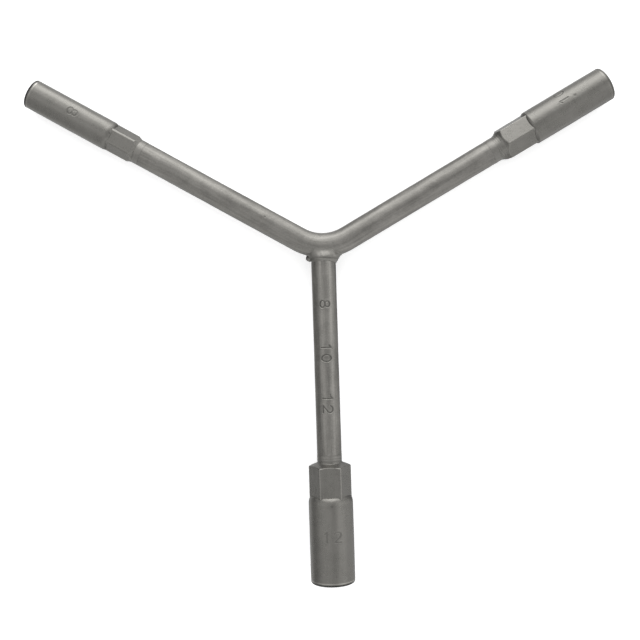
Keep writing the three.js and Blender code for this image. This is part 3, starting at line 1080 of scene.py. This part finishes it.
def steel(name, dark, light, mottling, streaking, roughness):
    """Blasted steel: fine grain, mottling, lengthwise streaks, specks, pale edges, dark hollows, painted
    highlights and painted shade.
    """
    material = bpy.data.materials.new(name)
    material.use_nodes = True
    nodes = Nodes(material.node_tree)
    shader = material.node_tree.nodes["Principled BSDF"]

    drawn = nodes.attribute("drawn", "Vector")
    wear = nodes.attribute("wear", "Fac")
    grime = nodes.attribute("grime", "Fac")
    noises = {noise: nodes.noise(drawn, *values) for noise, values in NOISES.items()}
    streak = nodes.noise(nodes.stretched(drawn, STREAK_STRETCH), *STREAK_NOISE)
    speck = specks(nodes, drawn)

    tone = nodes.summed(
        MIDDLE_TONE,
        *((noises[noise], factor * mottling) for noise, factor in MOTTLING_TONES.items()),
        (streak, streaking),
        (wear, WEAR_AND_HIGHLIGHT_TONE),
        (grime, GRIME_AND_SHADE_TONE),
        (speck, SPECK_TONE),
    )
    # Wear bares the steel and paints highlights. The deepest grime paints near-black shade that loses its
    # metal.
    bared_and_lit = nodes.mixed(nodes.mixed((*dark, 1), light, tone), BARE_AND_HIGHLIGHT_COLOUR, nodes.band(wear, *BARE_AND_HIGHLIGHT_RANGE))
    soot_and_shade = nodes.band(grime, *SOOT_AND_SHADE_RANGE)
    nodes.feed(shader, "Base Color", nodes.mixed(bared_and_lit, SOOT_AND_SHADE_COLOUR, soot_and_shade))
    nodes.feed(shader, "Metallic", nodes.scaled(soot_and_shade, -METALLIC, METALLIC))
    nodes.feed(shader, "Specular IOR Level", nodes.scaled(soot_and_shade, -SPECULAR, SPECULAR))

    nodes.feed(shader, "Roughness", nodes.summed(
        roughness,
        *((noises[noise], factor) for noise, factor in ROUGHNESSES.items()),
        (wear, WEAR_AND_HIGHLIGHT_ROUGHNESS),
        (grime, GRIME_AND_SHADE_ROUGHNESS),
    ))

    height = nodes.summed(
        0.0,
        *((noises[noise], factor) for noise, factor in HEIGHTS.items()),
        (streak, STREAK_HEIGHT * streaking),
        (speck, SPECK_HEIGHT),
    )
    bump = nodes.add("ShaderNodeBump")
    nodes.feed(bump, "Height", nodes.math("MULTIPLY", height, nodes.scaled(wear, -POLISH_SHARE, 1.0)))
    nodes.feed(bump, "Distance", MM)
    nodes.feed(bump, "Strength", 1.0)
    nodes.feed(shader, "Normal", bump.outputs[0])
    return material


# Stage, lights and camera

FLOOR_SIZE = 6000
FLOOR_SHADE = 0.8
FLOOR_ROUGHNESS = 0.9
FLOOR_GLOW = 0.5
PATCH_FOCUS = 10  # a patch's light is halved 21 degrees from its middle
PATCHES = {  # elevation: strengths by azimuth, which is counted from +X towards +Y
    75: {180: 0.7},
    45: {0: 1.2, 90: 1.4, 180: 0.7, 270: 0.9},
    18: {0: 0.6, 60: 1.4, 90: 1.8, 120: 1.4, 180: 0.5, 240: 0.7, 300: 1.0},
    3: {90: 0.5},
    -12: {0: 0.8, 60: 0.6, 240: 0.7, 300: 0.6},
    -42: {90: 0.6, 180: 0.4, 225: 0.6, 315: 0.8},
    -72: {120: 0.5},
}
CAMERA_DISTANCE = 380  # above the axes of the arms
FRAME_WIDTH = 260.2  # of what the picture shows at that distance
CAMERA_ROLL = -1.77
HUB_IN_PICTURE = (1.28, 27.38)  # right of and above the picture's middle, at the axes
SENSOR_WIDTH = 36


def make_floor():
    """A plane that touches all three barrels."""
    touching = []
    for socket in SOCKETS.values():
        middle = socket["reach"] - socket["barrel_length"] / 2
        lowest = np.array([0, middle, -socket["barrel_diameter"] / 2])
        touching.append(Vector(placed(lowest, socket["direction"])) * MM)
    first, second, third = touching
    normal = (second - first).cross(third - first).normalized()
    if normal.z < 0:
        normal.negate()
    mesh = bpy.data.meshes.new("floor")
    half = FLOOR_SIZE * MM / 2
    corners = []
    for x, y in ((-half, -half), (half, -half), (half, half), (-half, half)):
        corners.append((x, y, first.z - ((x - first.x) * normal.x + (y - first.y) * normal.y) / normal.z))
    mesh.from_pydata(corners, [], [(0, 1, 2, 3)])
    floor = bpy.data.objects.new("floor", mesh)
    bpy.context.scene.collection.objects.link(floor)
    material = bpy.data.materials.new("pale_floor")
    material.use_nodes = True
    shader = material.node_tree.nodes["Principled BSDF"]
    shader.inputs["Base Color"].default_value = (FLOOR_SHADE, FLOOR_SHADE, FLOOR_SHADE, 1)
    shader.inputs["Roughness"].default_value = FLOOR_ROUGHNESS
    shader.inputs["Specular IOR Level"].default_value = 0.0
    shader.inputs["Emission Color"].default_value = (1, 1, 1, 1)
    shader.inputs["Emission Strength"].default_value = FLOOR_GLOW
    mesh.materials.append(material)
    floor.visible_glossy = False


def make_world():
    """A studio lit by soft, even patches of light, some of them below the horizon."""
    world = bpy.data.worlds.new("studio")
    world.use_nodes = True
    nodes = Nodes(world.node_tree)
    direction = nodes.add("ShaderNodeTexCoord").outputs["Generated"]
    total = 0.0
    for elevation, strengths in PATCHES.items():
        level = math.cos(math.radians(elevation))
        for azimuth, strength in strengths.items():
            towards = nodes.add("ShaderNodeVectorMath", operation="DOT_PRODUCT")
            nodes.feed(towards, 0, direction)
            nodes.feed(towards, 1, (*(way(azimuth) * level), math.sin(math.radians(elevation))))
            near = nodes.scaled(towards.outputs["Value"], PATCH_FOCUS, -PATCH_FOCUS)
            total = nodes.scaled(nodes.math("EXPONENT", near), strength, total)
    background = world.node_tree.nodes["Background"]
    nodes.feed(background, "Strength", total)
    nodes.feed(background, "Color", (1, 1, 1, 1))
    bpy.context.scene.world = world


def make_camera():
    data = bpy.data.cameras.new("camera")
    data.sensor_width = SENSOR_WIDTH
    data.lens = SENSOR_WIDTH * CAMERA_DISTANCE / FRAME_WIDTH
    camera = bpy.data.objects.new("camera", data)
    bpy.context.scene.collection.objects.link(camera)
    right = Vector((*way(CAMERA_ROLL), 0))
    up = Vector((*way(CAMERA_ROLL + QUARTER_TURN), 0))
    back = Vector((0, 0, 1))
    place = HUB - right * HUB_IN_PICTURE[0] - up * HUB_IN_PICTURE[1] + back * CAMERA_DISTANCE
    turn = Matrix((right, up, back)).transposed().to_4x4()
    camera.matrix_world = Matrix.Translation(place * MM) @ turn
    bpy.context.scene.camera = camera


bar_steel, socket_steel, weld_steel = (steel(name, **values) for name, values in STEELS.items())

make_arm_bar(bar_steel)
make_leg_bar(SOCKETS["leg"], bar_steel)
make_hub_weld(weld_steel)
make_nub(weld_steel)
for side, socket in SOCKETS.items():
    make_socket(side, socket, socket_steel)
    make_weld_ring(side, socket, weld_steel)

make_camera()
make_floor()
make_world()
bpy.context.scene.view_settings.view_transform = "Standard"
